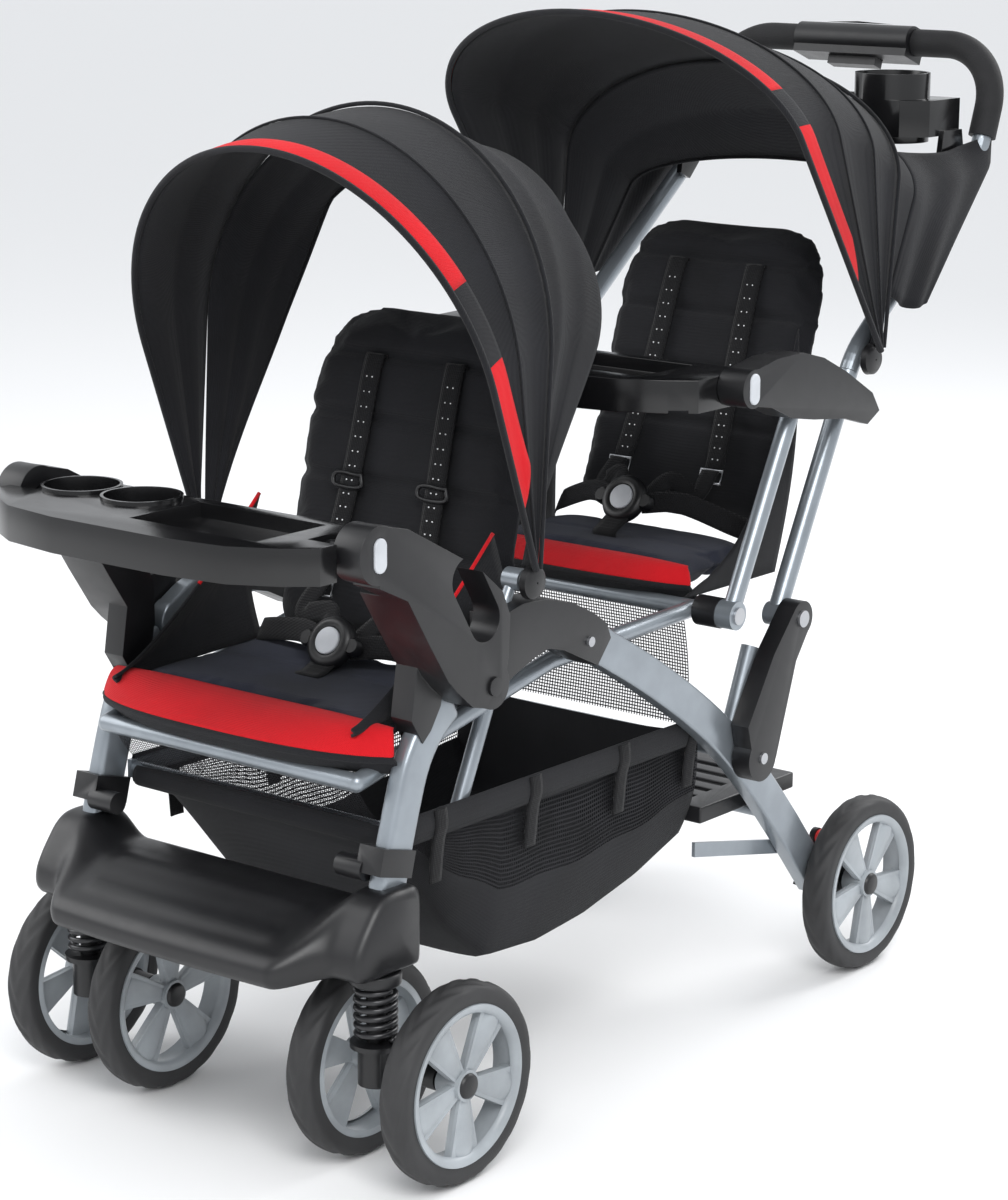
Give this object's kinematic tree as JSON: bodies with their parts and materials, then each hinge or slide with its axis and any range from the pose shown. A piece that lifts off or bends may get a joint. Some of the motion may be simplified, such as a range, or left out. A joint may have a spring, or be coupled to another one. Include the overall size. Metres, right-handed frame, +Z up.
{
  "type": "stroller",
  "caption": "Folding tandem stroller: canopied front seat, rear sit-or-stand seat with platform, child trays, parent tray, mesh basket and sprung twin casters.",
  "frame": {"origin": "middle of the footprint box on the ground, under the middle of the whole object", "axes": "+Z up, -Y towards the front of the stroller, +X towards the left hand of a child seated in it"},
  "size_m": [0.526, 1.2482, 1.0536],
  "materials": {
    "tube_silver": "satin",
    "black_plastic": "moulded, fine texture",
    "tray_plastic": "semi gloss",
    "grip_foam": "closed cell foam",
    "tyre_rubber": "matt tread",
    "rim_grey": "satin",
    "fabric_black": "plain weave",
    "fabric_slate": "plain weave",
    "fabric_red": "plain weave",
    "mesh_fabric": "open mesh",
    "webbing": "woven webbing",
    "button_grey": "satin",
    "steel": "zinc plated",
    "spring_steel": "gloss black",
    "pedal_red": "satin"
  },
  "bodies": {
    "chassis": {"rear_arches": "tube_silver", "arch_covers": "black_plastic", "seat_frame": "tube_silver", "basket_rails": "tube_silver", "rear_cross_tubes": "tube_silver", "pivot_housings": "black_plastic", "standing_platform": "black_plastic", "rear_axle_housings": "black_plastic", "frame_bolts": "steel", "basket": "mesh_fabric", "front_seat_pad": "fabric_slate", "rear_seat_pad": "fabric_slate", "front_canopy_posts": "tube_silver", "front_canopy_rear_panel": "fabric_black", "front_harness": "webbing", "rear_harness": "webbing"},
    "handle": {"handle_tube": "tube_silver", "handle_grips": "grip_foam", "handle_console": "black_plastic", "parent_tray": "tray_plastic", "rear_canopy_rear_panel": "fabric_black"},
    "fold_trigger": {"fold_trigger": "black_plastic"},
    "front_frame": {"front_legs": "tube_silver", "footrest": "black_plastic", "front_armrests": "black_plastic", "leg_fittings": "black_plastic"},
    "rear_arms": {"rear_arm_tubes": "tube_silver"},
    "rear_armrests": {"rear_armrests": "black_plastic"},
    "front_tray": {"front_tray": "tray_plastic"},
    "rear_tray": {"rear_tray": "tray_plastic"},
    "front_canopy": {"front_canopy_hood": "fabric_black"},
    "rear_canopy": {"rear_canopy_hood": "fabric_black"},
    "front_seat_back": {"front_seat_back": "fabric_black"},
    "rear_seat_back": {"rear_seat_back": "fabric_black"},
    "front_buckle_button": {"front_buckle_button": "button_grey"},
    "rear_buckle_button": {"rear_buckle_button": "button_grey"},
    "left_caster": {"left_caster_stem": "black_plastic", "left_caster_spring": "spring_steel"},
    "left_fork": {"left_caster_fork": "black_plastic"},
    "left_outer_front_wheel": {"left_outer_front_tyre": "tyre_rubber", "left_outer_front_rim": "rim_grey"},
    "left_inner_front_wheel": {"left_inner_front_tyre": "tyre_rubber", "left_inner_front_rim": "rim_grey"},
    "left_rear_wheel": {"left_rear_tyre": "tyre_rubber", "left_rear_rim": "rim_grey"},
    "left_brake_pedal": {"left_brake_pedal": "pedal_red"},
    "right_caster": {"right_caster_stem": "black_plastic", "right_caster_spring": "spring_steel"},
    "right_fork": {"right_caster_fork": "black_plastic"},
    "right_outer_front_wheel": {"right_outer_front_tyre": "tyre_rubber", "right_outer_front_rim": "rim_grey"},
    "right_inner_front_wheel": {"right_inner_front_tyre": "tyre_rubber", "right_inner_front_rim": "rim_grey"},
    "right_rear_wheel": {"right_rear_tyre": "tyre_rubber", "right_rear_rim": "rim_grey"},
    "right_brake_pedal": {"right_brake_pedal": "pedal_red"},
    "left_front_tray_button": {"left_front_tray_button": "button_grey"},
    "left_rear_tray_button": {"left_rear_tray_button": "button_grey"},
    "right_front_tray_button": {"right_front_tray_button": "button_grey"},
    "right_rear_tray_button": {"right_rear_tray_button": "button_grey"}
  },
  "joints": [
    {"name": "frame_fold", "type": "hinge", "parent": "chassis", "child": "handle", "pos_m": [0, 0.17595, 0.426], "axis": [-1, 0, 0], "range_deg": [-90, 0], "deforming": ["front_seat_pad", "rear_seat_pad", "front_seat_back", "rear_seat_back", "front_canopy_hood", "front_canopy_rear_panel", "rear_canopy_hood", "rear_canopy_rear_panel", "basket", "front_harness", "rear_harness"]},
    {"name": "front_frame_fold", "type": "hinge", "parent": "chassis", "child": "front_frame", "pos_m": [0, -0.35505, 0.462], "axis": [-1, 0, 0], "range_deg": [-50, 0]},
    {"name": "rear_arms_fold", "type": "hinge", "parent": "chassis", "child": "rear_arms", "pos_m": [0, 0.05895, 0.45], "axis": [-1, 0, 0], "range_deg": [-90, 0]},
    {"name": "rear_armrests_fold", "type": "hinge", "parent": "handle", "child": "rear_armrests", "pos_m": [0, 0.28492, 0.63533], "axis": [-1, 0, 0], "range_deg": [0, 90]},
    {"name": "left_caster_swivel", "type": "hinge", "parent": "front_frame", "child": "left_caster", "pos_m": [0.1895, -0.47605, 0.2], "axis": [0, 0, 1], "continuous": true},
    {"name": "left_suspension", "type": "slide", "parent": "left_caster", "child": "left_fork", "axis": [0, 0, 1], "range_m": [0, 0.012], "stiffness_N_per_m": 15000, "springref_m": -0.004, "deforming": ["left_caster_spring"]},
    {"name": "left_outer_front_wheel_spin", "type": "hinge", "parent": "left_fork", "child": "left_outer_front_wheel", "pos_m": [0.247, -0.42805, 0.098], "axis": [-1, 0, 0], "continuous": true},
    {"name": "left_inner_front_wheel_spin", "type": "hinge", "parent": "left_fork", "child": "left_inner_front_wheel", "pos_m": [0.132, -0.42805, 0.098], "axis": [-1, 0, 0], "continuous": true},
    {"name": "left_rear_wheel_spin", "type": "hinge", "parent": "chassis", "child": "left_rear_wheel", "pos_m": [0.2155, 0.31495, 0.098], "axis": [-1, 0, 0], "continuous": true},
    {"name": "left_brake", "type": "hinge", "parent": "chassis", "child": "left_brake_pedal", "pos_m": [0.19, 0.28495, 0.15], "axis": [-1, 0, 0], "range_deg": [0, 20]},
    {"name": "right_caster_swivel", "type": "hinge", "parent": "front_frame", "child": "right_caster", "pos_m": [-0.1895, -0.47605, 0.2], "axis": [0, 0, 1], "continuous": true},
    {"name": "right_suspension", "type": "slide", "parent": "right_caster", "child": "right_fork", "axis": [0, 0, 1], "range_m": [0, 0.012], "stiffness_N_per_m": 15000, "springref_m": -0.004, "deforming": ["right_caster_spring"]},
    {"name": "right_outer_front_wheel_spin", "type": "hinge", "parent": "right_fork", "child": "right_outer_front_wheel", "pos_m": [-0.247, -0.42805, 0.098], "axis": [-1, 0, 0], "continuous": true},
    {"name": "right_inner_front_wheel_spin", "type": "hinge", "parent": "right_fork", "child": "right_inner_front_wheel", "pos_m": [-0.132, -0.42805, 0.098], "axis": [-1, 0, 0], "continuous": true},
    {"name": "right_rear_wheel_spin", "type": "hinge", "parent": "chassis", "child": "right_rear_wheel", "pos_m": [-0.2155, 0.31495, 0.098], "axis": [-1, 0, 0], "continuous": true},
    {"name": "right_brake", "type": "hinge", "parent": "chassis", "child": "right_brake_pedal", "pos_m": [-0.19, 0.28495, 0.15], "axis": [-1, 0, 0], "range_deg": [0, 20]},
    {"name": "front_tray_swing", "type": "hinge", "parent": "front_frame", "child": "front_tray", "pos_m": [0, -0.51605, 0.613], "axis": [-1, 0, 0], "range_deg": [0, 60]},
    {"name": "rear_tray_swing", "type": "hinge", "parent": "rear_armrests", "child": "rear_tray", "pos_m": [0, 0.06095, 0.687], "axis": [-1, 0, 0], "range_deg": [0, 60]},
    {"name": "left_front_tray_button_press", "type": "slide", "parent": "front_frame", "child": "left_front_tray_button", "axis": [-1, 0, 0], "range_m": [0, 0.003], "stiffness_N_per_m": 400, "springref_m": -0.002},
    {"name": "left_rear_tray_button_press", "type": "slide", "parent": "rear_armrests", "child": "left_rear_tray_button", "axis": [-1, 0, 0], "range_m": [0, 0.003], "stiffness_N_per_m": 400, "springref_m": -0.002},
    {"name": "right_front_tray_button_press", "type": "slide", "parent": "front_frame", "child": "right_front_tray_button", "axis": [1, 0, 0], "range_m": [0, 0.003], "stiffness_N_per_m": 400, "springref_m": -0.002},
    {"name": "right_rear_tray_button_press", "type": "slide", "parent": "rear_armrests", "child": "right_rear_tray_button", "axis": [1, 0, 0], "range_m": [0, 0.003], "stiffness_N_per_m": 400, "springref_m": -0.002},
    {"name": "fold_trigger_pull", "type": "slide", "parent": "handle", "child": "fold_trigger", "axis": [0, 0.342, 0.9397], "range_m": [0, 0.008], "stiffness_N_per_m": 600, "springref_m": -0.004},
    {"name": "front_canopy_fold", "type": "hinge", "parent": "chassis", "child": "front_canopy", "pos_m": [0, -0.27805, 0.545], "axis": [-1, 0, 0], "range_deg": [0, 38]},
    {"name": "rear_canopy_fold", "type": "hinge", "parent": "handle", "child": "rear_canopy", "pos_m": [0, 0.31395, 0.685], "axis": [-1, 0, 0], "range_deg": [0, 18]},
    {"name": "front_recline", "type": "hinge", "parent": "chassis", "child": "front_seat_back", "pos_m": [0, -0.25605, 0.438], "axis": [-1, 0, 0], "range_deg": [0, 18]},
    {"name": "rear_recline", "type": "hinge", "parent": "handle", "child": "rear_seat_back", "pos_m": [0, 0.23595, 0.492], "axis": [-1, 0, 0], "range_deg": [0, 15]},
    {"name": "front_buckle_press", "type": "slide", "parent": "chassis", "child": "front_buckle_button", "axis": [0, 0.866, -0.5], "range_m": [0, 0.002], "stiffness_N_per_m": 400, "springref_m": -0.002},
    {"name": "rear_buckle_press", "type": "slide", "parent": "chassis", "child": "rear_buckle_button", "axis": [0, 0.866, -0.5], "range_m": [0, 0.002], "stiffness_N_per_m": 400, "springref_m": -0.002}
  ],
  "couplings": [
    {"joint": "front_frame_fold", "follows": "frame_fold", "ratio": 0.55556},
    {"joint": "rear_arms_fold", "follows": "frame_fold", "ratio": 1},
    {"joint": "rear_armrests_fold", "follows": "frame_fold", "ratio": -1}
  ]
}
